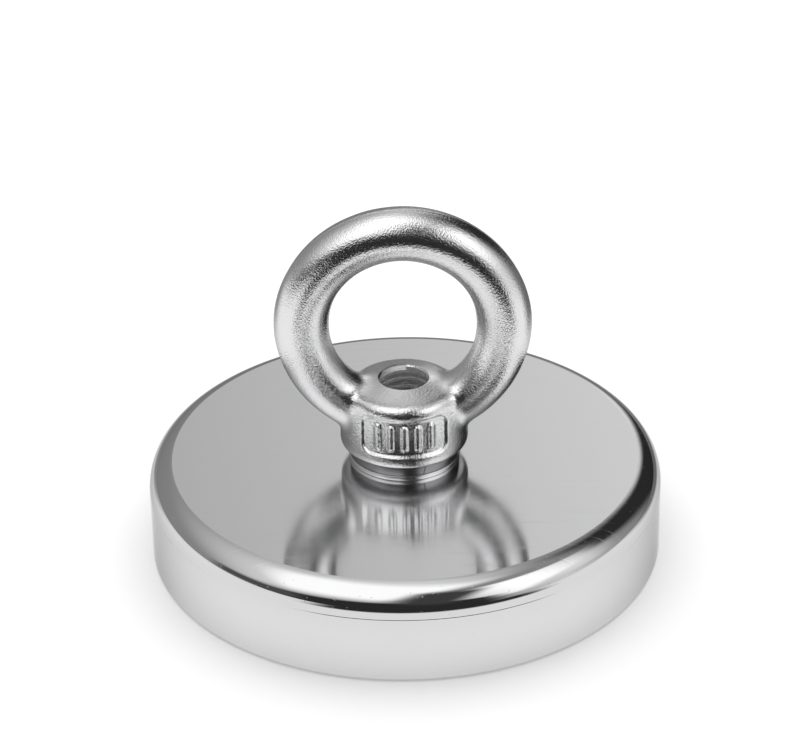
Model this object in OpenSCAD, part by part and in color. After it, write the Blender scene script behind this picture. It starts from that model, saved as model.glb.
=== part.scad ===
// Magnet fishing magnet: a steel pot round a ring magnet, with a screwed-on lifting eye nut.
// All sizes in millimetres. Origin: centre of the pull face. The eye lies in the XZ plane.

/* [Pot] */
// Outer diameter of the steel pot
pot_d = 90; // [75:1:120]
// Height of the pot
pot_h = 17.3; // [15.5:0.1:18.5]
// Rounding of the pot's top edge
pot_edge_r = 4.8; // [2:0.1:6]
// Thickness of the pot's wall
pot_wall = 6; // [4:0.5:8]
// Thickness of the pot's top plate
pot_top = 7.3; // [6:0.1:8]

/* [Magnet] */
// How far the magnet's face lies above the rim of the pot
face_recess = 0.3; // [0.1:0.1:0.8]
// Width of the two resin rings
resin_w = 1.0; // [0.5:0.1:2]
// Diameter of the steel core in the middle
core_d = 26; // [24:1:34]

/* [Screw] */
// Length of the countersunk screw, head included
screw_l = 25; // [25:1:26]
// Diameter of the screw's head
screw_head_d = 20; // [18:0.5:21]
// Width across flats of its hexagon socket
socket_af = 6; // [5:0.5:7]

/* [Washers] */
// Outer diameter of the thin flat washer
flat_washer_d = 19.6; // [18:0.1:21]
// Thickness of the flat washer
flat_washer_t = 0.8; // [0.5:0.1:1.2]
// Outer diameter of the spring lock washer
lock_washer_d = 19.2; // [18:0.1:20]
// Thickness of the lock washer, pressed flat
lock_washer_t = 2.0; // [1.6:0.1:2.4]
// Angle of the lock washer's split
split_angle = 3; // [2:0.5:8]

/* [Eye nut boss] */
// Widest diameter of the boss, low on its side
boss_low_d = 22.3; // [21.5:0.1:24]
// Diameter at the top of its drafted side
boss_high_d = 20; // [19:0.1:21]
// Diameter on which the shoulder's rounding is struck
boss_crown_d = 16.8; // [15:0.1:17]
// Height of the boss from its seat to the thread's mouth
boss_h = 12.2; // [11.5:0.1:13]

/* [Eye nut ring] */
// Mean radius of the ring
ring_r = 17.45; // [16:0.05:18]
// Diameter of the ring's round bar
bar_d = 9.3; // [8:0.1:10]
// Height of the ring's centre over the seat of the boss
ring_up = 22.8; // [22.5:0.1:24]

/* [Plate on the boss] */
// Width of the sunk plate on each side of the boss
plate_w = 14.4; // [10:0.1:15]
// Height of the sunk plate
plate_h = 6.4; // [4:0.1:6.8]
// Depth of the plate and height of the ribs in it
plate_deep = 0.4; // [0.2:0.05:0.6]
// Number of raised ribs in the plate
rib_count = 5; // [3:1:7]

/* [Hidden] */
$fn = 96;
e = 0.01; // cuts run this far past a face

// Thread M10 x 1.5, drawn plain near its pitch diameter, 9.03
thread_r = 4.48;
thread_clearance = 0.06;
mouth_chamfer = 0.2;
nut_bore_r = thread_r + thread_clearance;
mouth_r = nut_bore_r + mouth_chamfer;
shank_hole_r = 5.25;

edge_end = 82;             // the rounding stops short of the flat top by 8 degrees
magnet_top = pot_h - pot_top;
cavity_r = pot_d / 2 - pot_wall;
magnet_outer_r = cavity_r - resin_w;
core_r = core_d / 2;
magnet_inner_r = core_r + resin_w;

head_r = screw_head_d / 2;
head_z = 0.5;              // the head lies this far above the rim
head_rim = 0.4;            // straight edge of the head
head_cone = head_r - thread_r;
stud_end_z = head_z + screw_l;
tip_chamfer = 0.8;
socket_deep = 3.4;
socket_fn = 6;

lock_seat_z = pot_h + flat_washer_t;
nut_z = lock_seat_z + lock_washer_t;
washer_hole_r = 5.2;
split_at = -69;            // direction of the lock washer's split

boss_low_r = boss_low_d / 2;
boss_high_r = boss_high_d / 2;
boss_crown_r = boss_crown_d / 2;
heel_r = 2;                // rounding under the boss
shoulder_z = 9.7;          // top of the drafted side, over the seat
shoulder_arc = [15, 65];   // its rounding runs between these angles
plate_mid_z = 5.7;         // middle of the plate, over the seat
plate_corner_r = 1.2;
rib_w = 1.0;
rib_h = 4.2;
rib_gap = 2.35;            // from one rib's middle to the next

// Points on an arc about [cx, cy], from angle a0 to a1
function arc(cx, cy, r, a0, a1, n = 8) =
    [for (i = [0:n]) let (a = a0 + (a1 - a0) * i / n) [cx + r * cos(a), cy + r * sin(a)]];

// A flat-faced ring about the Z axis
module ring_body(r_in, r_out, z0, z1) {
    rotate_extrude() translate([r_in, z0]) square([r_out - r_in, z1 - z0]);
}

// A flat-faced ring whose four edges are broken by c
module broken_ring(r_in, r_out, z0, z1, c, sweep = 360) {
    rotate_extrude(angle = sweep) polygon([
        [r_in, z0 + c], [r_in + c, z0], [r_out - c, z0], [r_out, z0 + c],
        [r_out, z1 - c], [r_out - c, z1], [r_in + c, z1], [r_in, z1 - c]]);
}

// Steel pot with a rounded top edge, open below, with a clearance hole for the screw
module pot() {
    r = pot_d / 2;
    foot_chamfer = 0.4;
    color("silver") difference() {
        rotate_extrude() polygon(concat(
            [[0, 0], [r - foot_chamfer, 0], [r, foot_chamfer]],
            arc(r - pot_edge_r, pot_h - pot_edge_r * sin(edge_end), pot_edge_r, 0, edge_end, 10),
            [[0, pot_h]]));
        translate([0, 0, -e]) cylinder(h = magnet_top + e, r = cavity_r);
        translate([0, 0, -e]) cylinder(h = pot_h + 2 * e, r = shank_hole_r);
    }
}

// Hard resin cast between the pot's wall and the magnet
module outer_resin() {
    color("dimgray") ring_body(magnet_outer_r, cavity_r, 0.5 * face_recess, magnet_top);
}

// Plated ring magnet
module ring_magnet() {
    magnet_edge = 0.5;
    color("gainsboro")
        broken_ring(magnet_inner_r, magnet_outer_r, face_recess, magnet_top, magnet_edge);
}

// Resin between the magnet and the core
module inner_resin() {
    color("dimgray") ring_body(core_r, magnet_inner_r, 0.5 * face_recess, magnet_top);
}

// Steel core in the middle of the magnet, countersunk for the screw's head
module core() {
    seat_z = head_z + head_rim;
    color("darkgray") difference() {
        translate([0, 0, face_recess]) cylinder(h = magnet_top - face_recess, r = core_r);
        cylinder(h = pot_h, r = shank_hole_r);
        translate([0, 0, -e]) cylinder(h = seat_z + e, r = head_r);
        translate([0, 0, seat_z]) cylinder(h = head_cone, r1 = head_r, r2 = thread_r);
    }
}

// Countersunk screw with a hexagon socket; its end is the stud under the eye nut
module screw() {
    seat_z = head_z + head_rim;
    color("lightgray") difference() {
        rotate_extrude() polygon([
            [0, head_z], [head_r, head_z], [head_r, seat_z],
            [thread_r, seat_z + head_cone], [thread_r, stud_end_z - tip_chamfer],
            [thread_r - tip_chamfer, stud_end_z], [0, stud_end_z]]);
        translate([0, 0, head_z - e])
            cylinder(h = socket_deep, r = socket_af / 2 / cos(180 / socket_fn), $fn = socket_fn);
    }
}

// Thin flat washer on the pot
module flat_washer() {
    washer_edge = 0.15;
    color("whitesmoke")
        broken_ring(washer_hole_r, flat_washer_d / 2, pot_h, lock_seat_z, washer_edge);
}

// Split spring washer, pressed flat under the nut
module lock_washer() {
    washer_edge = 0.25;
    color("slategray") rotate([0, 0, split_at + split_angle / 2])
        broken_ring(washer_hole_r, lock_washer_d / 2, lock_seat_z, nut_z,
                    washer_edge, 360 - split_angle);
}

// The boss as a solid of revolution; sink moves its drafted side inward
module boss(sink = 0) {
    rotate_extrude() polygon(concat(
        [[0, 0]],
        arc(boss_low_r - heel_r - sink, heel_r, heel_r, -90, 0),
        [[boss_high_r - sink, shoulder_z]],
        arc(boss_crown_r - sink, shoulder_z, boss_high_r - boss_crown_r,
            shoulder_arc[0], shoulder_arc[1], 5),
        [[mouth_r, boss_h], [0, boss_h]]));
}

// Outline with round corners, standing in the XZ plane and running towards -Y
module upright_slab(w, h, corner_r) {
    rotate([90, 0, 0]) linear_extrude(height = boss_low_d) union() {
        square([w - 2 * corner_r, h], center = true);
        square([w, h - 2 * corner_r], center = true);
        for (sx = [-1, 1], sz = [-1, 1])
            translate([sx * (w / 2 - corner_r), sz * (h / 2 - corner_r)]) circle(r = corner_r);
    }
}

// What is cut away to leave the sunk plate with its ribs
module plate_cut() {
    difference() {
        translate([0, 0, plate_mid_z]) upright_slab(plate_w, plate_h, plate_corner_r);
        boss(sink = plate_deep);
        for (i = [0:rib_count - 1])
            translate([(i - (rib_count - 1) / 2) * rib_gap, 0, plate_mid_z])
                upright_slab(rib_w, rib_h, 0.45 * rib_w);
    }
}

// The lifting ring: a round bar bent to a circle, upright in the XZ plane
module eye_ring() {
    rotate([90, 0, 0]) rotate_extrude() translate([ring_r, 0]) circle(d = bar_d);
}

// Forged eye nut: boss with a sunk plate front and back, lifting ring and through thread
module eye_nut() {
    color("lightgray") translate([0, 0, nut_z]) difference() {
        union() {
            difference() {
                boss();
                for (turn = [0, 180]) rotate([0, 0, turn]) plate_cut();
            }
            translate([0, 0, ring_up]) eye_ring();
        }
        translate([0, 0, -e]) cylinder(h = boss_h + 2 * e, r = nut_bore_r);
        translate([0, 0, -e])
            cylinder(h = mouth_chamfer + e, r1 = mouth_r + e, r2 = nut_bore_r);
        translate([0, 0, boss_h - mouth_chamfer])
            cylinder(h = mouth_chamfer + e, r1 = nut_bore_r, r2 = mouth_r + e);
    }
}

pot();
outer_resin();
ring_magnet();
inner_resin();
core();
screw();
flat_washer();
lock_washer();
eye_nut();
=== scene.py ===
# %% [markdown]
# # A magnet for magnet fishing
# A steel pot with a strong ring magnet cast into its underside, and a forged eye nut screwed on top for
# the rope. Nearly all of it is metal, so its looks depend on three things: exact round shapes, small
# faults in the polish, and what stands round it to be reflected.

# %% Load the frame
import math

import bmesh
import bpy
from mathutils import Matrix, Vector


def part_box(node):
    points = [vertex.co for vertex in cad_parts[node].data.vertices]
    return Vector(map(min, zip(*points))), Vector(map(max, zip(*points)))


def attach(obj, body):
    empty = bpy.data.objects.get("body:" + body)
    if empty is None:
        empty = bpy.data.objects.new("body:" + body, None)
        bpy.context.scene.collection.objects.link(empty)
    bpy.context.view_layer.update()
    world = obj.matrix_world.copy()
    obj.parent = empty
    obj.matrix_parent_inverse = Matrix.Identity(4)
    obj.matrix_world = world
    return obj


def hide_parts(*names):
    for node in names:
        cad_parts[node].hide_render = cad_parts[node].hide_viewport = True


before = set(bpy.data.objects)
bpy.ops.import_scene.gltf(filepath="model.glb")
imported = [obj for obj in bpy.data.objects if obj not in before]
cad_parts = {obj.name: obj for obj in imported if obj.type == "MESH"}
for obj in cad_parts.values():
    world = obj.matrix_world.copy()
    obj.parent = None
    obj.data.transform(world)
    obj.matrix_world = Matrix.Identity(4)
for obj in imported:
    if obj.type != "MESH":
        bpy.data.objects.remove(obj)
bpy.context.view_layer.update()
MM = 0.001

# %% [markdown]
# ## Camera
# A long lens from about half a metre, 31 degrees above the table. The camera looks a little past the
# middle of the pot, and it is rolled by one degree. It comes first, so that every later choice can be
# judged through it.

# %% Camera
CAMERA_DISTANCE = 0.550
CAMERA_ELEVATION = math.radians(30.9)
CAMERA_ROLL = math.radians(-0.96)
LENS = 142.9
look_from = Vector((0, 0, 0.020)) + CAMERA_DISTANCE * Vector(
    (0, -math.cos(CAMERA_ELEVATION), math.sin(CAMERA_ELEVATION)))
look_at = Vector((-0.0015, 0.0057, 0.0294))

camera_data = bpy.data.cameras.new("camera")
camera_data.lens = LENS
camera_data.clip_start = 0.01
camera = bpy.data.objects.new("camera", camera_data)
bpy.context.collection.objects.link(camera)
turn = (look_at - look_from).to_track_quat("-Z", "Y").to_matrix().to_4x4()
camera.matrix_world = Matrix.Translation(look_from) @ turn @ Matrix.Rotation(CAMERA_ROLL, 4, "Z")
bpy.context.scene.camera = camera
print("camera at", [round(v, 3) for v in look_from])

# %% [markdown]
# ## Sizes
# The heights and radii come from the frame, in millimetres, so a change in the frame moves the pieces
# with it. What the frame can't say, such as a thread's depth, is named beside the piece.

# %% Sizes from the frame


def round_mm(node):
    """Outer radius, lowest height and highest height of a frame node, in millimetres."""
    low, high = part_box(node)
    return high[0] / MM, low[2] / MM, high[2] / MM


POT_R, _, POT_TOP = round_mm("pot")
MAGNET_R, MAGNET_LOW, MAGNET_TOP = round_mm("ring_magnet")
CAVITY_R, RESIN_LOW, _ = round_mm("outer_resin")
MAGNET_IN_R, _, _ = round_mm("inner_resin")
CORE_R, CORE_LOW, _ = round_mm("core")
HEAD_R, SCREW_LOW, STUD_END = round_mm("screw")
FLAT_R, FLAT_LOW, FLAT_TOP = round_mm("flat_washer")
LOCK_R, LOCK_LOW, LOCK_TOP = round_mm("lock_washer")
EYE_R, NUT_SEAT, NUT_TOP = round_mm("eye_nut")
print(f"pot {2 * POT_R:.1f} x {POT_TOP:.1f}, nut from {NUT_SEAT:.1f} to {NUT_TOP:.1f} mm")

# %% [markdown]
# ## Sums written as nodes
# Both the eye nut's shape and every finish are formulas that vary from point to point. In Blender such a
# formula is a string of Math nodes. This small class lets Python's own + - * / build them, so a formula
# still reads as a formula.

# %% Fields


class Field:
    """A number that varies over space. Arithmetic on it adds Math nodes to its tree."""

    def __init__(self, tree, socket):
        self.tree = tree
        self.socket = socket

    def math(self, operation, *others):
        node = self.tree.nodes.new("ShaderNodeMath")
        node.operation = operation
        for slot, value in zip(node.inputs, (self, *others)):
            plug(self.tree, slot, value)
        return Field(self.tree, node.outputs[0])

    def __add__(self, other):
        return self.math("ADD", other)

    def __sub__(self, other):
        return self.math("SUBTRACT", other)

    def __rsub__(self, other):
        return (self * -1) + other

    def __mul__(self, other):
        return self.math("MULTIPLY", other)

    def __truediv__(self, other):
        return self.math("DIVIDE", other)

    def __abs__(self):
        return self.math("ABSOLUTE")

    def at_least(self, other):
        return self.math("MAXIMUM", other)

    def at_most(self, other):
        return self.math("MINIMUM", other)

    def blend_out(self, other, width):
        """The larger of two fields, with the corner between them rounded."""
        return self.math("SMOOTH_MAX", other, width)

    def blend_in(self, other, width):
        """The smaller of two fields, with a fillet between them."""
        return self.math("SMOOTH_MIN", other, width)

    def ramp(self, low, high):
        """0 below low, 1 above high, and a soft step between."""
        node = self.tree.nodes.new("ShaderNodeMapRange")
        node.interpolation_type = "SMOOTHSTEP"
        plug(self.tree, node.inputs["Value"], self)
        plug(self.tree, node.inputs["From Min"], low)
        plug(self.tree, node.inputs["From Max"], high)
        return Field(self.tree, node.outputs["Result"])


# %% Node helpers


def plug(tree, slot, value):
    """Links a field or socket to a slot, or sets the slot to a plain number."""
    if isinstance(value, Field):
        tree.links.new(value.socket, slot)
    elif isinstance(value, bpy.types.NodeSocket):
        tree.links.new(value, slot)
    else:
        slot.default_value = value


def hypot(a, b):
    """Length of the hypotenuse over two fields."""
    return (a * a + b * b).math("SQRT")


def put(tree, kind, inputs=(), **settings):
    """Adds a node, sets its properties and plugs its inputs, given as (name, value) pairs."""
    node = tree.nodes.new(kind)
    for key, value in settings.items():
        setattr(node, key, value)
    for name, value in inputs:
        plug(tree, node.inputs[name], value)
    return node


def split(tree, vector):
    """The X, Y and Z of a vector socket, as fields."""
    node = put(tree, "ShaderNodeSeparateXYZ", [("Vector", vector)])
    return [Field(tree, s) for s in node.outputs]


# %% [markdown]
# ## Finishes
# A plated steel surface is a metal whose colour hardly changes. What the eye reads is the roughness, the
# grain under the plating, and a few scratches. `plated` makes such a finish from noises at real sizes in
# millimetres, read on Object coordinates, and each piece passes its own grain.

# %% Noises at real sizes


def noise(tree, coordinates, size_mm, detail=3.0, roughness=0.55):
    """Noise whose blobs are about size_mm across, as a field from 0 to 1."""
    node = put(tree, "ShaderNodeTexNoise", [
        ("Vector", coordinates), ("Scale", 1 / (size_mm * MM)), ("Detail", detail),
        ("Roughness", roughness)])
    return Field(tree, node.outputs[0])


def stretched(tree, coordinates, across, along, angle):
    """Coordinates turned about Z and squeezed, so that a noise on them runs in streaks."""
    node = put(tree, "ShaderNodeMapping", [("Vector", coordinates)])
    node.inputs["Rotation"].default_value = (0, 0, math.radians(angle))
    node.inputs["Scale"].default_value = (1 / along, 1 / across, 1 / along)
    return node.outputs[0]


# %% Plated metal


def plated(name, colour, roughness, spread=0.04, grain_mm=0.4, grain_um=3.0, wave_mm=8.0, wave_um=0.0,
           streak_um=0.0, scratch_um=0.0, pit_um=0.0, stain=0.04, smear=0.0, metallic=1.0):
    """Plated or polished steel: grain and waves, in micrometres of height over a size in millimetres.

    smear draws reflections out along the "grind" UV map. A metallic share below 1 lets a little plain
    light in, which keeps a deep, shaded cut such as the thread readable.
    """
    material = bpy.data.materials.new(name)
    material.use_nodes = True
    tree = material.node_tree
    shader = tree.nodes["Principled BSDF"]
    shader.inputs["Metallic"].default_value = metallic
    shader.inputs["Specular Tint"].default_value = (0.6, 0.6, 0.6, 1)
    if smear:
        shader.inputs["Anisotropic"].default_value = smear
        lay = put(tree, "ShaderNodeTangent", direction_type="UV_MAP", uv_map="grind")
        tree.links.new(lay.outputs[0], shader.inputs["Tangent"])
    place = put(tree, "ShaderNodeTexCoord").outputs["Object"]

    cloud = noise(tree, place, 11.0, detail=4.0)
    grain = noise(tree, place, grain_mm, detail=2.0)
    tone = (cloud - 0.5) * stain + (grain - 0.5) * (stain * 0.7) + 1.0
    mixed = put(tree, "ShaderNodeVectorMath", [(0, colour), ("Scale", tone)], operation="SCALE")
    tree.links.new(mixed.outputs[0], shader.inputs["Base Color"])

    height = (grain - 0.5) * (2 * grain_um) + (noise(tree, place, wave_mm, detail=1.0) - 0.5) * (2 * wave_um)
    rough = (cloud - 0.5) * (2 * spread) + roughness
    if streak_um:
        streak = noise(tree, stretched(tree, place, 1.0, 14.0, 7.0), 0.5, detail=3.0)
        height = height + (streak - 0.5) * (2 * streak_um)
        rough = rough + (streak - 0.5) * spread
    if scratch_um:
        for angle in (24, 101, 163):
            line = noise(tree, stretched(tree, place, 1.0, 45.0, angle), 0.35, detail=0.0)
            patch = noise(tree, place, 17.0 + angle / 20, detail=1.0).ramp(0.52, 0.62)
            height = height - line.ramp(0.735, 0.78) * patch * scratch_um
    if pit_um:
        height = height - noise(tree, place, 0.55, detail=0.0).ramp(0.79, 0.84) * pit_um
    bump = put(tree, "ShaderNodeBump", [("Height", height), ("Distance", 1e-6), ("Strength", 1.0)])
    tree.links.new(bump.outputs[0], shader.inputs["Normal"])
    tree.links.new(rough.at_least(0.02).socket, shader.inputs["Roughness"])
    return material


# %% The finishes
NICKEL = (0.70, 0.70, 0.705)
pot_finish = plated("bright_nickel", NICKEL, 0.07, spread=0.015, grain_mm=0.5, grain_um=0.25, wave_mm=22.0,
                    wave_um=6.0, scratch_um=4.5, pit_um=9.0)
face_finish = plated("ground_nickel", NICKEL, 0.10, spread=0.03, grain_mm=0.5, grain_um=0.4, wave_mm=22.0,
                     wave_um=4.0, streak_um=1.8, scratch_um=3.0, smear=1.0)
nut_finish = plated("polished_forging", (0.80, 0.80, 0.805), 0.11, spread=0.04, grain_mm=0.31, grain_um=34.0,
                    wave_mm=3.0, wave_um=10.0, stain=0.08)
# The thread's colour is paler than the forging's: painted light that lifts the shade deep in the bore.
lightened_thread_finish = plated("cut_thread_painted_light", (0.92, 0.92, 0.92), 0.18, grain_mm=0.2, grain_um=3.0, metallic=0.70)
flat_finish = plated("bright_washer", (0.80, 0.80, 0.80), 0.14, grain_mm=0.25, grain_um=2.0)
lock_finish = plated("spring_steel", (0.30, 0.30, 0.31), 0.20, grain_mm=0.3, grain_um=4.0, stain=0.12)
screw_finish = plated("screw_steel", (0.62, 0.62, 0.63), 0.22, grain_mm=0.3, grain_um=4.0)
magnet_finish = plated("satin_nickel", (0.70, 0.70, 0.71), 0.26, grain_mm=0.35, grain_um=4.0, scratch_um=3.0)
core_finish = plated("turned_steel", (0.60, 0.60, 0.61), 0.28, grain_mm=0.3, grain_um=3.0, streak_um=2.0)
print("finishes:", [m.name for m in bpy.data.materials])

# %% [markdown]
# The resin is not a metal. It is cast, dark and a little uneven, with dust specks on it.

# %% Cast resin
resin_finish = bpy.data.materials.new("cast_resin")
resin_finish.use_nodes = True
tree = resin_finish.node_tree
shader = tree.nodes["Principled BSDF"]
place = put(tree, "ShaderNodeTexCoord").outputs["Object"]
cloud = noise(tree, place, 5.0, detail=4.0)
speck = noise(tree, place, 0.5, detail=2.0)
tint = put(tree, "ShaderNodeVectorMath", [(0, (0.035, 0.036, 0.040)), ("Scale", cloud * 0.8 + speck * 0.6)],
           operation="SCALE")
tree.links.new(tint.outputs[0], shader.inputs["Base Color"])
tree.links.new((cloud * 0.25 + 0.32).socket, shader.inputs["Roughness"])
bump = put(tree, "ShaderNodeBump", [("Height", cloud * 120.0 + speck * 15.0), ("Distance", 1e-6)])
tree.links.new(bump.outputs[0], shader.inputs["Normal"])

# %% [markdown]
# ## Turned pieces
# The pot, the resin rings, the washers and the screw are all turned or pressed round. Each is drawn as
# half a section: corners in millimetres with a rounding radius on each, swept once round the axis. A
# lathe in code gives even quads and closed poles, and the roundings catch the light as real edges do.

# %% Rounded corners


def rounded(corners, steps=8):
    """Points along a closed outline of (radius, height, rounding) corners, with the roundings as arcs."""
    points = []
    for i, (r, z, rounding) in enumerate(corners):
        here = Vector((r, z))
        before = (Vector(corners[i - 1][:2]) - here).normalized()
        after = (Vector(corners[(i + 1) % len(corners)][:2]) - here).normalized()
        if rounding <= 0:
            points.append(here)
            continue
        half = before.angle(after) / 2
        centre = here + (before + after).normalized() * (rounding / math.sin(half))
        start = here + before * (rounding / math.tan(half)) - centre
        sweep = start.angle_signed(here + after * (rounding / math.tan(half)) - centre)
        for step in range(steps + 1):
            turned_by = -sweep * step / steps
            points.append(centre + Matrix.Rotation(turned_by, 2) @ start)
    return points


# %% Lathe


def turned(name, outline, finish, segments=256, crease=32):
    """A closed outline of (radius, height) points in millimetres, turned round the Z axis."""
    made = bmesh.new()
    rings = []
    for r, z in outline:
        if r < 1e-6:
            rings.append([made.verts.new((0, 0, z * MM))] * segments)
            continue
        angles = [2 * math.pi * k / segments for k in range(segments)]
        rings.append([made.verts.new((r * MM * math.cos(a), r * MM * math.sin(a), z * MM)) for a in angles])
    for i, low in enumerate(rings):
        high = rings[(i + 1) % len(rings)]
        for k in range(segments):
            corners = [low[k], low[(k + 1) % segments], high[(k + 1) % segments], high[k]]
            corners = list(dict.fromkeys(corners))
            if len(corners) > 2:
                made.faces.new(corners)
    bmesh.ops.recalc_face_normals(made, faces=made.faces)
    mesh = bpy.data.meshes.new(name)
    made.to_mesh(mesh)
    made.free()
    return as_piece(name, mesh, finish, crease)


def as_piece(name, mesh, finish, crease=32):
    """Links a mesh as an object, smooth except at edges sharper than crease degrees."""
    mesh.materials.clear()
    mesh.materials.append(finish)
    mesh.polygons.foreach_set("use_smooth", [True] * len(mesh.polygons))
    mesh.set_sharp_from_angle(angle=math.radians(crease))
    piece = bpy.data.objects.new(name, mesh)
    bpy.context.collection.objects.link(piece)
    print(f"{name}: {len(mesh.polygons)} faces")
    return piece


# %% [markdown]
# ## The pot
# The pot is machined from steel, rounded at its top edge, ground flat on top and bright plated. A fine
# line runs round the wall where the rounding tool stopped. The pull face has a flat rim, and the magnet
# sits a little deeper, inside a ring of resin.

# %% Pot
EDGE_R = 4.8
EDGE_END = math.radians(82)
EDGE_FOOT = POT_TOP - EDGE_R * math.sin(EDGE_END)
TOOL_LINE = EDGE_FOOT - 0.4
SCREW_HOLE_R = 5.25
edge_arc = [(POT_R - EDGE_R * (1 - math.cos(EDGE_END * (1 - k / 20))),
             EDGE_FOOT + EDGE_R * math.sin(EDGE_END * (1 - k / 20)), 0) for k in range(21)]
pot_outline = rounded([
    (SCREW_HOLE_R, POT_TOP, 0), *edge_arc, (POT_R, TOOL_LINE + 0.1, 0), (POT_R - 0.025, TOOL_LINE, 0),
    (POT_R, TOOL_LINE - 0.1, 0), (POT_R, 0, 0.45), (CAVITY_R, 0, 0.25), (CAVITY_R, MAGNET_TOP, 0),
    (SCREW_HOLE_R, MAGNET_TOP, 0)])
pot = turned("pot_shell", pot_outline, pot_finish, segments=384, crease=5)
grind = pot.data.uv_layers.new(name="grind")
for corner in pot.data.loops:
    across, along, _ = pot.data.vertices[corner.vertex_index].co
    grind.data[corner.index].uv = (along, across)
pot.data.materials.append(face_finish)
for face in pot.data.polygons:
    if face.normal.z > 0.999 and face.center.z > (POT_TOP - 0.01) * MM:
        face.material_index = 1
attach(pot, "magnet")
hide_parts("pot")

# %% Magnet, core and resin
RESIN_DIP = 0.25
magnet = turned("magnet_ring", rounded([
    (MAGNET_IN_R, MAGNET_LOW, 0.4), (MAGNET_R, MAGNET_LOW, 0.4), (MAGNET_R, MAGNET_TOP, 0.4),
    (MAGNET_IN_R, MAGNET_TOP, 0.4)], steps=5), magnet_finish, segments=192)
core = turned("pole_core", rounded([
    (CORE_R, CORE_LOW, 0.2), (CORE_R, MAGNET_TOP, 0), (SCREW_HOLE_R, MAGNET_TOP, 0),
    (SCREW_HOLE_R, SCREW_LOW + 0.4 + HEAD_R - SCREW_HOLE_R, 0), (HEAD_R + 0.05, SCREW_LOW + 0.35, 0),
    (HEAD_R + 0.05, CORE_LOW, 0.1)], steps=4), core_finish, segments=192)


def resin_ring(name, inner, outer, low):
    """A ring of resin whose face sinks a little between its two walls."""
    middle = (inner + outer) / 2
    face = [(inner + (outer - inner) * t, low + RESIN_DIP * (1 - (2 * t - 1) ** 2))
            for t in (0, 0.15, 0.35, 0.5, 0.65, 0.85, 1)]
    print(f"{name}: middle radius {middle:.1f} mm")
    return turned(name, [(outer, MAGNET_TOP), (inner, MAGNET_TOP), *face], resin_finish, segments=192)


outer_resin = resin_ring("resin_outer", MAGNET_R, CAVITY_R, RESIN_LOW)
inner_resin = resin_ring("resin_inner", CORE_R, MAGNET_IN_R, RESIN_LOW)
for piece, node, slot in ((magnet, "ring_magnet", "magnet_plating"), (core, "core", "bare_steel"),
                          (outer_resin, "outer_resin", "resin"), (inner_resin, "inner_resin", "resin")):
    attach(piece, "magnet")
    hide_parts(node)

# %% [markdown]
# ## Geometry Nodes on a piece
# The next pieces follow a rule: a thread follows a helix, the lock washer follows an arc, and the eye nut
# follows a formula. Each gets a node tree with named sizes. These helpers make a tree, set its inputs by
# their identifiers, and turn the result into a plain mesh.

# %% Tree helpers


def new_tree(name, sizes, takes_mesh=False):
    """An empty node tree with named number inputs, and its sizes as fields."""
    tree = bpy.data.node_groups.new(name, "GeometryNodeTree")
    if takes_mesh:
        tree.interface.new_socket(name="Mesh", in_out="INPUT", socket_type="NodeSocketGeometry")
    tree.interface.new_socket(name="Geometry", in_out="OUTPUT", socket_type="NodeSocketGeometry")
    for size in sizes:
        tree.interface.new_socket(name=size, in_out="INPUT", socket_type="NodeSocketFloat")
    given = tree.nodes.new("NodeGroupInput")
    return tree, given, {size: Field(tree, given.outputs[size]) for size in sizes}


def close_tree(tree, geometry, finish):
    """Ends a tree in Realize Instances and Set Material."""
    real = put(tree, "GeometryNodeRealizeInstances", [("Geometry", geometry)])
    dressed = put(tree, "GeometryNodeSetMaterial", [("Geometry", real.outputs[0]), ("Material", finish)])
    tree.links.new(dressed.outputs[0], tree.nodes.new("NodeGroupOutput").inputs[0])


def grow(name, tree, sizes, finish, seed_mesh=None, crease=32):
    """Runs a tree on an object, and returns a new piece with the result as a plain mesh."""
    host = bpy.data.objects.new(name + "_host", seed_mesh or bpy.data.meshes.new(name + "_seed"))
    bpy.context.collection.objects.link(host)
    modifier = host.modifiers.new(name, "NODES")
    modifier.node_group = tree
    identifiers = {s.name: s.identifier for s in tree.interface.items_tree if s.in_out == "INPUT"}
    for size, value in sizes.items():
        modifier[identifiers[size]] = float(value)
    bpy.context.view_layer.update()
    evaluated = host.evaluated_get(bpy.context.evaluated_depsgraph_get())
    mesh = bpy.data.meshes.new_from_object(evaluated)
    mesh.name = name
    host.modifiers.remove(modifier)
    bpy.data.objects.remove(host)
    return as_piece(name, mesh, finish, crease)


# %% [markdown]
# ## The thread
# An M10 thread rises 1.5 mm a turn. The stud's ridge and the groove in the nut are the same helix with
# slightly different widths, so they lie in mesh, and when the nut turns and rises together they stay so.
# The ridge is a small trapezium carried along a spiral, with its inner part buried in the core.

# %% Thread helix
LEAD = 1.5


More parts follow.
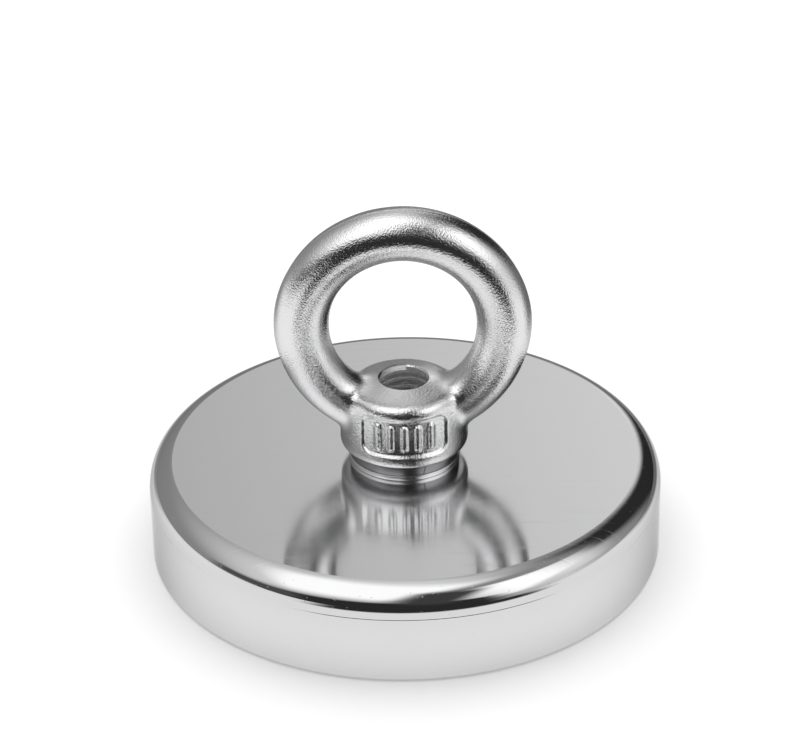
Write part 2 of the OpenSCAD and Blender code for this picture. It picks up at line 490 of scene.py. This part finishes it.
def helix(tree, low, turns, radius, depth, root, crest):
    """A solid ridge that winds up from height low: root wide at the axis side, crest wide outside."""
    spiral = put(tree, "GeometryNodeCurveSpiral", [
        ("Resolution", 64), ("Rotations", turns), ("Start Radius", radius), ("End Radius", radius),
        ("Height", turns * LEAD)])
    lifted = put(tree, "GeometryNodeTransform", [("Geometry", spiral.outputs[0])])
    lift = put(tree, "ShaderNodeCombineXYZ", [("Z", low)])
    tree.links.new(lift.outputs[0], lifted.inputs["Translation"])
    upright = put(tree, "GeometryNodeSetCurveNormal", [("Curve", lifted.outputs[0])])
    set_mode(upright, "Z_UP", "Z Up")
    section = put(tree, "GeometryNodeCurvePrimitiveQuadrilateral")
    set_mode(section, "POINTS", "Points")
    half = depth * 0.5
    for point, across, up in ((1, -half, -root), (2, half, -crest), (3, half, crest), (4, -half, root)):
        corner = put(tree, "ShaderNodeCombineXYZ")
        plug(tree, corner.inputs["X"], across)
        plug(tree, corner.inputs["Y"], up * 0.5)
        tree.links.new(corner.outputs[0], section.inputs[f"Point {point}"])
    swept = put(tree, "GeometryNodeCurveToMesh", [
        ("Curve", upright.outputs[0]), ("Profile Curve", section.outputs[0]), ("Fill Caps", True)])
    return swept.outputs[0]


def set_mode(node, value, label):
    """Sets a node's mode, which is a property or a menu input depending on the version."""
    if hasattr(node, "mode"):
        node.mode = value
    else:
        node.inputs["Mode"].default_value = label


# %% Joining and cutting


def combine(tree, operation, first, second):
    """Mesh Boolean of two geometries with the manifold solver."""
    node = put(tree, "GeometryNodeMeshBoolean", operation=operation, solver="MANIFOLD")
    if operation == "DIFFERENCE":
        tree.links.new(first, node.inputs["Mesh 1"])
    else:
        tree.links.new(first, node.inputs["Mesh 2"])
    tree.links.new(second, node.inputs["Mesh 2"])
    return node.outputs[0]


print("thread lead", LEAD, "mm a turn")

# %% [markdown]
# ## The screw
# A countersunk screw comes up through the pot. Its head is turned, its socket is a hexagon prism cut out
# of it, and the thread's ridge is joined on. It ends inside the nut, out of sight.

# %% Screw
CORE_THREAD_R = 4.12
SOCKET_R = 3.46
SOCKET_DEEP = 3.4
HEAD_RIM = 0.4
TIP_CONE = 0.7
blank = turned("screw_blank", rounded([
    (0, SCREW_LOW, 0), (HEAD_R, SCREW_LOW, 0.15), (HEAD_R, SCREW_LOW + HEAD_RIM, 0),
    (CORE_THREAD_R, SCREW_LOW + HEAD_RIM + HEAD_R - CORE_THREAD_R, 0),
    (CORE_THREAD_R, STUD_END - TIP_CONE, 0.2), (CORE_THREAD_R - TIP_CONE, STUD_END, 0.2),
    (0, STUD_END, 0)], steps=4), screw_finish, segments=96)
screw_tree, given, size = new_tree(
    "screw_with_thread", ["Thread start", "Turns", "Socket radius", "Socket depth"], takes_mesh=True)
ridge = helix(screw_tree, size["Thread start"], size["Turns"], radius=4.42, depth=1.06, root=1.26,
              crest=0.14)
ridge_m = put(screw_tree, "GeometryNodeTransform", [("Geometry", ridge), ("Scale", (MM, MM, MM))])
threaded = combine(screw_tree, "UNION", given.outputs["Mesh"], ridge_m.outputs[0])
prism = put(screw_tree, "GeometryNodeMeshCylinder", [
    ("Vertices", 6), ("Radius", size["Socket radius"]), ("Depth", size["Socket depth"] * 2)])
set_down = put(screw_tree, "GeometryNodeTransform", [
    ("Geometry", prism.outputs[0]), ("Scale", (MM, MM, MM)), ("Translation", (0, 0, SCREW_LOW * MM))])
close_tree(screw_tree, combine(screw_tree, "DIFFERENCE", threaded, set_down.outputs[0]), screw_finish)
THREAD_START = POT_TOP - 4 * LEAD
screw = grow("stud_screw", screw_tree, {
    "Thread start": THREAD_START, "Turns": (STUD_END - 0.8 - THREAD_START) / LEAD,
    "Socket radius": SOCKET_R, "Socket depth": SOCKET_DEEP}, screw_finish, seed_mesh=blank.data)
bpy.data.objects.remove(blank)
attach(screw, "magnet")
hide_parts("screw")

# %% [markdown]
# ## Washers
# The flat washer is a plain turned ring. The lock washer is a square bar bent round and cut at a slant,
# so it is an arc with a section carried along it; a last step leans the two cut ends over.

# %% Flat washer
WASHER_HOLE_R = 5.2
flat_washer = turned("flat_ring", rounded([
    (WASHER_HOLE_R, FLAT_LOW, 0.1), (FLAT_R, FLAT_LOW, 0.12), (FLAT_R, FLAT_TOP, 0.12),
    (WASHER_HOLE_R, FLAT_TOP, 0.1)], steps=5), flat_finish)
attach(flat_washer, "magnet")
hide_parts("flat_washer")

# %% Lock washer
SPLIT_AT = -69.0
SPLIT_WIDTH = 0.5
SPLIT_LEAN = 1.5
lock_tree, given, size = new_tree(
    "split_washer", ["Inner radius", "Outer radius", "Low", "High", "Corner", "Lean"])
bar_w = size["Outer radius"] - size["Inner radius"]
bar_h = size["High"] - size["Low"]
ring = put(lock_tree, "GeometryNodeCurveArc", [
    ("Resolution", 240), ("Radius", size["Inner radius"] + bar_w * 0.5),
    ("Start Angle", math.radians(SPLIT_AT + SPLIT_WIDTH / 2)),
    ("Sweep Angle", math.radians(360 - SPLIT_WIDTH))])
section = put(lock_tree, "GeometryNodeCurvePrimitiveQuadrilateral", [("Width", bar_w), ("Height", bar_h)])
soft = put(lock_tree, "GeometryNodeFilletCurve", [("Curve", section.outputs[0])])
set_mode(soft, "POLY", "Poly")
plug(lock_tree, soft.inputs["Count"], 4)
plug(lock_tree, soft.inputs["Radius"], size["Corner"])
bent = put(lock_tree, "GeometryNodeCurveToMesh", [
    ("Curve", ring.outputs[0]), ("Profile Curve", soft.outputs[0]), ("Fill Caps", True)])
here = put(lock_tree, "GeometryNodeInputPosition").outputs[0]
_, _, z = split(lock_tree, here)
leaning = put(lock_tree, "ShaderNodeVectorRotate", [("Vector", here), ("Angle", z * size["Lean"])],
              rotation_type="Z_AXIS")
leaned = put(lock_tree, "GeometryNodeSetPosition", [
    ("Geometry", bent.outputs[0]), ("Position", leaning.outputs[0])])
raised = put(lock_tree, "ShaderNodeCombineXYZ", [("Z", (size["Low"] + size["High"]) * (0.5 * MM))])
placed = put(lock_tree, "GeometryNodeTransform", [
    ("Geometry", leaned.outputs[0]), ("Translation", raised.outputs[0]), ("Scale", (MM, MM, MM))])
close_tree(lock_tree, placed.outputs[0], lock_finish)
lock_washer = grow("lock_ring", lock_tree, {
    "Inner radius": WASHER_HOLE_R, "Outer radius": LOCK_R, "Low": LOCK_LOW, "High": LOCK_TOP,
    "Corner": 0.12, "Lean": math.radians(SPLIT_LEAN)}, lock_finish)
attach(lock_washer, "washer")
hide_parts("lock_washer")

# %% [markdown]
# ## The eye nut
# A forging has no straight corners: the ring flows into the boss through soft fillets. Joining a torus to
# a cone by a boolean would leave a hard seam. Instead the nut is described by its distance field, the
# distance from any point to its surface. Two shapes then join with a soft minimum, which is a fillet, and
# the sunk plate, its ribs and the parting ridge are small amounts added to the distance. A volume is
# filled from the field, meshed, and each point is then moved onto the exact surface.

# %% Distance field of the nut
NUT_SIZES = ["Ring radius", "Bar width", "Bar thickness", "Ring height", "Low radius", "High radius",
             "Shoulder", "Boss height", "Fillet", "Plate depth", "Seat"]


def plate_and_ribs(x, z, depth):
    """How far the surface is sunk by the plate, less its raised ribs. Sizes in millimetres over the seat."""
    half_w, half_h, corner, middle = 7.3, 3.35, 1.7, 5.75
    across = abs(x) - (half_w - corner)
    up = abs(z - middle) - (half_h - corner)
    edge = hypot(across.at_least(0), up.at_least(0)) + across.at_least(up).at_most(0) - corner
    gap, count, rib_half, rib_reach = 2.35, 5, 0.42, 1.75
    nearest = (x / gap).math("ROUND").at_most((count - 1) / 2).at_least(-(count - 1) / 2)
    rib = hypot(x - nearest * gap, (abs(z - middle) - rib_reach).at_least(0)) - rib_half
    sunk = 1.0 - edge.ramp(-0.55, 0.32)
    raised = 1.0 - rib.ramp(-0.20, 0.32)
    return (sunk - raised * 0.85) * depth


def nut_distance(tree, size, point):
    """Signed distance to the eye nut, in millimetres, negative inside."""
    x, y, z = split(tree, point)
    z = z - size["Seat"]
    r = hypot(x, y)
    draft = (size["Low radius"] - size["High radius"]) / size["Shoulder"]
    side = (r - size["Low radius"] + (z - 1.6) * draft) * 0.989
    side = side + plate_and_ribs(x, z, size["Plate depth"])
    crown = (z - size["Boss height"] + (r - 4.4) * 0.26) * 0.968
    boss = side.blend_out(crown, 2.2).blend_out(z * -1, 2.8)
    q = hypot(x, z - size["Ring height"]) - size["Ring radius"]
    near = hypot(q / size["Bar width"], y / size["Bar thickness"])
    far = hypot(q / (size["Bar width"] * size["Bar width"]),
                y / (size["Bar thickness"] * size["Bar thickness"]))
    bar = near * (near - 1) / far.at_least(1e-4)
    body = boss.blend_in(bar, size["Fillet"])
    parting = (1.0 - (abs(y) / 0.40).at_most(1)) * z.ramp(13.0, 15.5) * 0.11
    wander = put(tree, "ShaderNodeTexNoise", [("Vector", point), ("Scale", 0.16), ("Detail", 1.0)])
    return body - parting - (Field(tree, wander.outputs[0]) - 0.5) * 0.08


# %% The field as a node group
distance_tree = bpy.data.node_groups.new("nut_distance", "GeometryNodeTree")
distance_tree.interface.new_socket(name="Point", in_out="INPUT", socket_type="NodeSocketVector")
for name in NUT_SIZES:
    distance_tree.interface.new_socket(name=name, in_out="INPUT", socket_type="NodeSocketFloat")
distance_tree.interface.new_socket(name="Distance", in_out="OUTPUT", socket_type="NodeSocketFloat")
given = distance_tree.nodes.new("NodeGroupInput")
nut_size = {name: Field(distance_tree, given.outputs[name]) for name in NUT_SIZES}
nut_field = nut_distance(distance_tree, nut_size, given.outputs["Point"])
distance_tree.links.new(nut_field.socket, distance_tree.nodes.new("NodeGroupOutput").inputs["Distance"])
print("distance field:", len(distance_tree.nodes), "nodes")

# %% Settling onto the surface


def distance_at(tree, size, point):
    """The nut's distance at a point, through the shared group."""
    node = put(tree, "GeometryNodeGroup", node_tree=distance_tree)
    plug(tree, node.inputs["Point"], point)
    for name in NUT_SIZES:
        plug(tree, node.inputs[name], size[name])
    return Field(tree, node.outputs["Distance"])


def settle(tree, size, geometry, step=0.05):
    """Moves every point along the field's slope onto the zero surface."""
    here = put(tree, "GeometryNodeInputPosition").outputs[0]
    middle = distance_at(tree, size, here)
    slope = put(tree, "ShaderNodeCombineXYZ")
    for axis, offset in enumerate(((step, 0, 0), (0, step, 0), (0, 0, step))):
        ahead = put(tree, "ShaderNodeVectorMath", [(0, here), (1, offset)], operation="ADD").outputs[0]
        behind = put(tree, "ShaderNodeVectorMath", [(0, here), (1, offset)], operation="SUBTRACT").outputs[0]
        rise = (distance_at(tree, size, ahead) - distance_at(tree, size, behind)) / (2 * step)
        tree.links.new(rise.socket, slope.inputs[axis])
    steepness = put(tree, "ShaderNodeVectorMath", [(0, slope.outputs[0]), (1, slope.outputs[0])],
                    operation="DOT_PRODUCT").outputs["Value"]
    back = (middle * -1) / Field(tree, steepness).at_least(0.1)
    move = put(tree, "ShaderNodeVectorMath", [(0, slope.outputs[0]), ("Scale", back)], operation="SCALE")
    return put(tree, "GeometryNodeSetPosition", [
        ("Geometry", geometry), ("Offset", move.outputs[0])]).outputs[0]


# %% Nut tree: fill, mesh, settle, tap
VOXEL = 0.27
nut_tree, given, size = new_tree("forged_eye_nut", NUT_SIZES + ["Thread start", "Turns"], takes_mesh=True)
reach = (EYE_R + 1.5, 12.5, 1.5)
low_corner = (-reach[0], -reach[1], NUT_SEAT - reach[2])
high_corner = (reach[0], reach[1], NUT_TOP + reach[2])
here = put(nut_tree, "GeometryNodeInputPosition").outputs[0]
filled = put(nut_tree, "GeometryNodeVolumeCube", [
    ("Density", distance_at(nut_tree, size, here) * -1), ("Background", -1.0), ("Min", low_corner),
    ("Max", high_corner)] + [(f"Resolution {axis}", int((high - low) / VOXEL))
                             for axis, low, high in zip("XYZ", low_corner, high_corner)])
skin = put(nut_tree, "GeometryNodeVolumeToMesh", [("Volume", filled.outputs[0]), ("Threshold", 0.0)])
shape = settle(nut_tree, size, settle(nut_tree, size, skin.outputs[0]))
groove = helix(nut_tree, size["Thread start"], size["Turns"], radius=4.50, depth=1.04, root=1.46,
               crest=0.26)
crest_bevel = helix(nut_tree, size["Thread start"], size["Turns"], radius=4.325, depth=0.35, root=1.48,
                    crest=0.84)
tap = combine(nut_tree, "UNION", combine(nut_tree, "UNION", given.outputs["Mesh"], groove), crest_bevel)
cut = combine(nut_tree, "DIFFERENCE", shape, tap)
scaled = put(nut_tree, "GeometryNodeTransform", [("Geometry", cut), ("Scale", (MM, MM, MM))])
close_tree(nut_tree, scaled.outputs[0], nut_finish)

# %% [markdown]
# The tap is the tool that cuts the nut's thread: a plain core the size of the drilled hole with a small
# flare at each end, which leaves the mouth's chamfer, plus the groove's helix. A second, shallow helix
# bevels the thread's crest. The cut faces get their own finish, smoother than the forging's grain and
# paler, as painted light that lifts the shade deep in the bore.

# %% Cut the nut
BORE_R = 4.20
BOSS_H = 12.3
MOUTH = NUT_SEAT + BOSS_H
tap_core = turned("tap_core", [(r / MM, z / MM) for r, z in [
    (0, NUT_SEAT - 1), (BORE_R + 1.4, NUT_SEAT - 1), (BORE_R, NUT_SEAT + 0.4), (BORE_R, MOUTH - 0.25),
    (BORE_R + 1.0, MOUTH + 0.75), (BORE_R + 1.0, MOUTH + 4.0), (0, MOUTH + 4.0)]], nut_finish,
    segments=128)
eye_nut = grow("eye_nut_forging", nut_tree, {
    "Ring radius": 17.45, "Bar width": 4.62, "Bar thickness": 4.75, "Ring height": 22.8,
    "Low radius": 11.22, "High radius": 9.9, "Shoulder": 7.4, "Boss height": BOSS_H, "Fillet": 2.6,
    "Plate depth": 0.42, "Seat": NUT_SEAT, "Thread start": THREAD_START,
    "Turns": (MOUTH - 0.45 - THREAD_START) / LEAD}, nut_finish, seed_mesh=tap_core.data, crease=38)
bpy.data.objects.remove(tap_core)
GROOVE_R = BORE_R + 0.95
# The cut faces take the paler thread finish, painted light for the shaded bore.
eye_nut.data.materials.append(lightened_thread_finish)
cut_faces = 0
for face in eye_nut.data.polygons:
    x, y, z = (v / MM for v in face.center)
    if math.hypot(x, y) < GROOVE_R and NUT_SEAT + 0.5 < z < MOUTH - 0.3:
        face.material_index = 1
        cut_faces += 1
print("cut faces of the thread:", cut_faces)
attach(eye_nut, "eye")
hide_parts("eye_nut")

# %% [markdown]
# ## Studio
# Bright metal has hardly any colour of its own: what it shows is the room. So the room is painted on the
# world as a few soft-edged panels, each given by its direction as seen from the object: azimuth 0 is the
# side of the camera, positive to the right. A bright panel hangs overhead, a window stands at the right,
# and dark panels between them draw the black lines along the rounded edge. Only shiny surfaces see this
# room. The table and the resin get plain even light.

# %% Painted room
STUDIO = [
    # name, azimuth, elevation, half width, half height, softness across, softness up, tilt, brightness
    ("back wall", 160.0, 21.6, 15.4, 12.6, 48.6, 14.1, 36.4, 1.60),
    ("left wall", -93.9, 61.3, 46.3, 22.6, 17.2, 50.0, -43.3, 0.84),
    ("overhead panel", -42.4, 67.2, 23.7, 33.6, 13.1, 26.2, 12.6, 1.39),
    ("right window", 59.2, 36.0, 24.9, 24.1, 40.5, 5.0, -2.0, 1.43),
    ("right wall", 68.6, 4.9, 18.5, 17.6, 46.2, 12.0, 23.7, 0.81),
    ("dark curtain", 137.3, 23.2, 21.2, 31.3, 18.2, 14.8, 26.3, 0.03),
    ("dark front", -12.9, 2.0, 52.7, 25.3, 16.0, 5.5, 5.4, 0.03),
    ("dark gap", 15.5, 42.0, 11.8, 22.5, 11.0, 13.2, -20.3, 0.06),
    ("dark left", -65.7, 9.3, 20.0, 7.3, 12.0, 7.5, 2.6, 0.09)]
ROOM_GREY = 0.312
EVEN_LIGHT = 0.66
# The sheet's glow is painted light that keeps shadows pale.
PAINTED_SHEET_GLOW = 0.15

world = bpy.data.worlds.new("painted_room")
world.use_nodes = True
bpy.context.scene.world = world
bpy.context.scene.view_settings.view_transform = "Standard"
room = world.node_tree
ray = put(room, "ShaderNodeTexCoord").outputs["Generated"]


# %% One panel of the room


def along_ray(axis):
    """How far the ray's direction reaches along a fixed axis."""
    node = put(room, "ShaderNodeVectorMath", [(0, ray), (1, tuple(axis))], operation="DOT_PRODUCT")
    return Field(room, node.outputs["Value"])


def panel(azimuth, elevation, half_width, half_height, soft_across, soft_up, tilt):
    """1 inside a panel of the room, 0 outside, from the direction of the ray. Angles in degrees."""
    around, above = math.radians(azimuth), math.radians(elevation)
    middle = Vector((math.sin(around) * math.cos(above), -math.cos(around) * math.cos(above),
                     math.sin(above)))
    level = Vector((math.cos(around), math.sin(around), 0))
    lean = Matrix.Rotation(math.radians(tilt), 3, middle)
    ahead = along_ray(middle)
    across = abs(along_ray(lean @ level) / ahead.at_least(0.001)).math("ARCTANGENT")
    up = abs(along_ray(lean @ level.cross(-middle)) / ahead.at_least(0.001)).math("ARCTANGENT")
    w, h, a, b = (math.radians(v) for v in (half_width, half_height, soft_across / 2, soft_up / 2))
    return (across * -1 + w).ramp(-a, a) * (up * -1 + h).ramp(-b, b) * ahead.ramp(0.0, 0.05)


# %% Brightness of the room
brightness = ROOM_GREY
for name, *place, level in STUDIO:
    cover = panel(*place)
    brightness = (1.0 - cover) * brightness + cover * level
rays = put(room, "ShaderNodeLightPath")
shiny, matt, seen = (Field(room, rays.outputs[f"Is {kind} Ray"]) for kind in ("Glossy", "Diffuse", "Camera"))
background = room.nodes["Background"]
background.inputs["Color"].default_value = (1, 1, 1, 1)
room.links.new((brightness * shiny + matt * EVEN_LIGHT + seen).socket, background.inputs["Strength"])
print("painted room:", [row[0] for row in STUDIO])

# %% [markdown]
# The object stands on a small white sheet that glows a little: painted light that keeps shadows pale. Round
# the sheet the table is painted darker for the shiny surfaces only, a painted dark reflection that gives the
# lower edge of their black lines. They also see a painted glow close to the pot, which lifts the contact
# shadow in the wall's reflection, so its wall stays bright down to the sheet.

# %% Table
TABLE_Z = -0.0003
TABLE_HALF = 3.0
SHEET_WHITE = 0.93
SHEET_IN_MIRROR = 0.93
PAINTED_NEAR_GLOW = 0.15
# Painted dark reflection: round the sheet, shiny surfaces see a darker table.
PAINTED_DARK_SURROUND = [
    # azimuth, half width, soft edge, where the sheet ends and how softly (m), share of light taken away in
    # the painted dark reflection
    (8.0, 42.0, 16.0, 0.112, 0.030, 0.97), (128.0, 24.0, 24.0, 0.098, 0.040, 0.78),
    (-165.0, 45.0, 30.0, 0.110, 0.050, 0.62)]
sheet_mesh = bpy.data.meshes.new("table")
sheet_corners = [(across * TABLE_HALF, along * TABLE_HALF, TABLE_Z)
                 for across, along in ((-1, -1), (1, -1), (1, 1), (-1, 1))]
sheet_mesh.from_pydata(sheet_corners, [], [(0, 1, 2, 3)])
table_paint = bpy.data.materials.new("white_sheet_painted_reflection")
table_paint.use_nodes = True
tree = table_paint.node_tree
shader = tree.nodes["Principled BSDF"]
x, y, _ = split(tree, put(tree, "ShaderNodeTexCoord").outputs["Object"])
radius = hypot(x, y)
kept_from_painted_dark = 1.0
for azimuth, half_width, soft, end, end_soft, taken in PAINTED_DARK_SURROUND:
    along = math.radians(azimuth)
    ahead = x * math.sin(along) - y * math.cos(along)
    aside = abs(x * math.cos(along) + y * math.sin(along)).math("ARCTAN2", ahead)
    inside = (aside * -1 + math.radians(half_width)).ramp(-math.radians(soft / 2), math.radians(soft / 2))
    kept_from_painted_dark = (1.0 - inside * radius.ramp(end - end_soft / 2, end + end_soft / 2) * taken) * kept_from_painted_dark
mirrored = Field(tree, put(tree, "ShaderNodeLightPath").outputs["Is Glossy Ray"])
# Shiny surfaces see the painted dark surround; the camera and plain light see a white sheet.
white = kept_from_painted_dark * mirrored * SHEET_IN_MIRROR + (1.0 - mirrored)
tint = put(tree, "ShaderNodeCombineXYZ", [(axis, white * SHEET_WHITE) for axis in "XYZ"])
tree.links.new(tint.outputs[0], shader.inputs["Base Color"])
shader.inputs["Roughness"].default_value = 0.9
shader.inputs["Specular IOR Level"].default_value = 0.0
shader.inputs["Emission Color"].default_value = (1, 1, 1, 1)
# Painted glow: the sheet glows a little to keep shadows pale, and shiny surfaces see extra glow near the
# pot, which lifts the contact shadow in the wall's reflection.
glow = white * PAINTED_SHEET_GLOW + mirrored * (1.0 - radius.ramp(0.045, 0.070)) * PAINTED_NEAR_GLOW
tree.links.new(glow.socket, shader.inputs["Emission Strength"])
sheet_mesh.materials.append(table_paint)
table = bpy.data.objects.new("table", sheet_mesh)
bpy.context.collection.objects.link(table)

# %% Soft light
lamp = bpy.data.lights.new("softbox", "AREA")
lamp.shape = "RECTANGLE"
lamp.size, lamp.size_y = 1.2, 1.0
lamp.energy = 4.5
softbox = bpy.data.objects.new("softbox", lamp)
bpy.context.collection.objects.link(softbox)
softbox.matrix_world = Matrix.Translation((-0.05, 0.25, 0.9)) @ Matrix.Rotation(math.radians(-15), 4, "X")
softbox.visible_camera = softbox.visible_glossy = False
print("studio: white sheet and one soft light")
